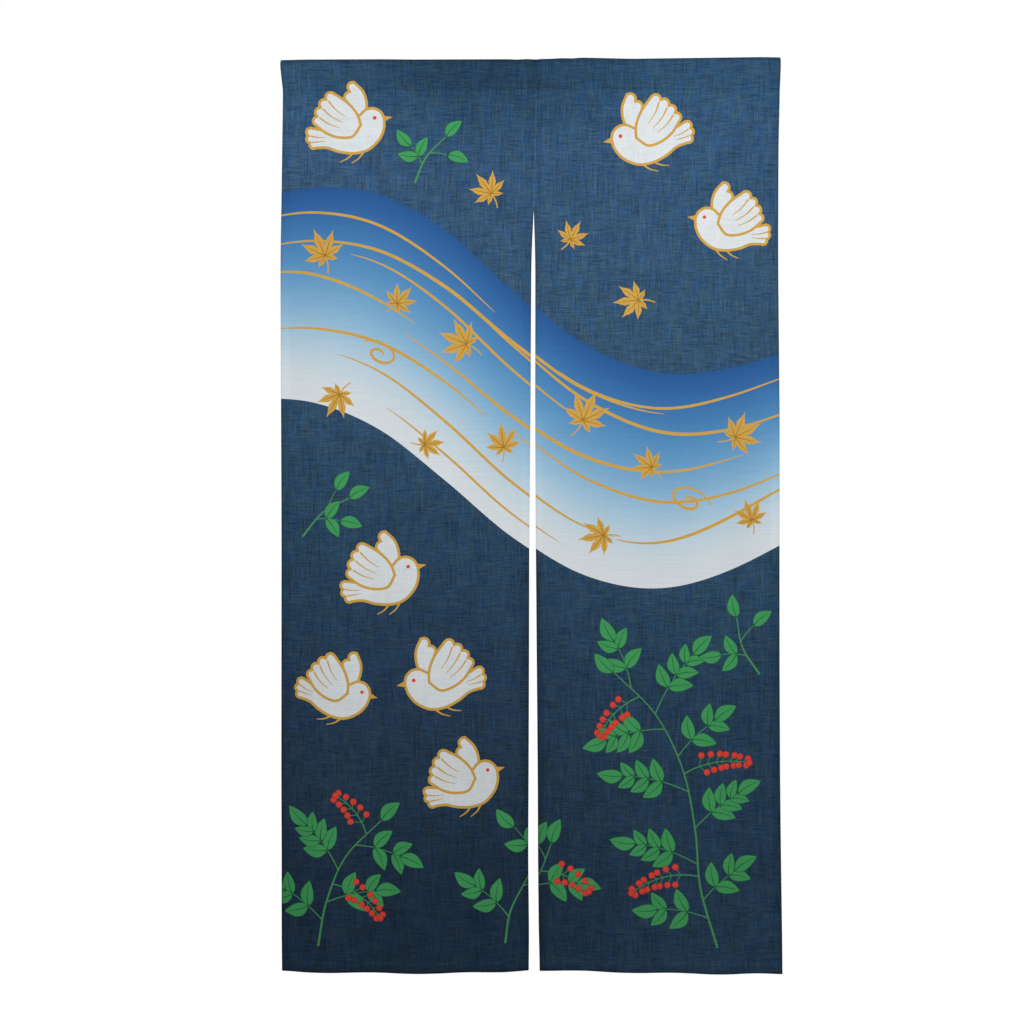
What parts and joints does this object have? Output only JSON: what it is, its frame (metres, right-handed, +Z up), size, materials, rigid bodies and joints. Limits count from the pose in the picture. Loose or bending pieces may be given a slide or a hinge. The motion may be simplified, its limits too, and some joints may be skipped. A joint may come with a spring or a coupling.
{
  "type": "noren curtain",
  "caption": "Short door curtain of hemmed cloth panels sewn together at the top above a slit, with a rod pocket across the top edge.",
  "frame": {"origin": "level with the highest point of the rod pocket's crown, above the middle of the width, midway between the pocket's front and back", "axes": "+Z up; +X to the right as seen from the front, along the rod pocket; the printed front faces -Y"},
  "size_m": [0.8209, 0.0145, 1.4997],
  "materials": {
    "printed_cloth": "matt printed plain weave",
    "sewing_thread": "fine clear thread that takes the colour of the print under it"
  },
  "bodies": {
    "root": {"heading": "printed_cloth", "left_panel": "printed_cloth", "right_panel": "printed_cloth"}
  },
  "joints": []
}
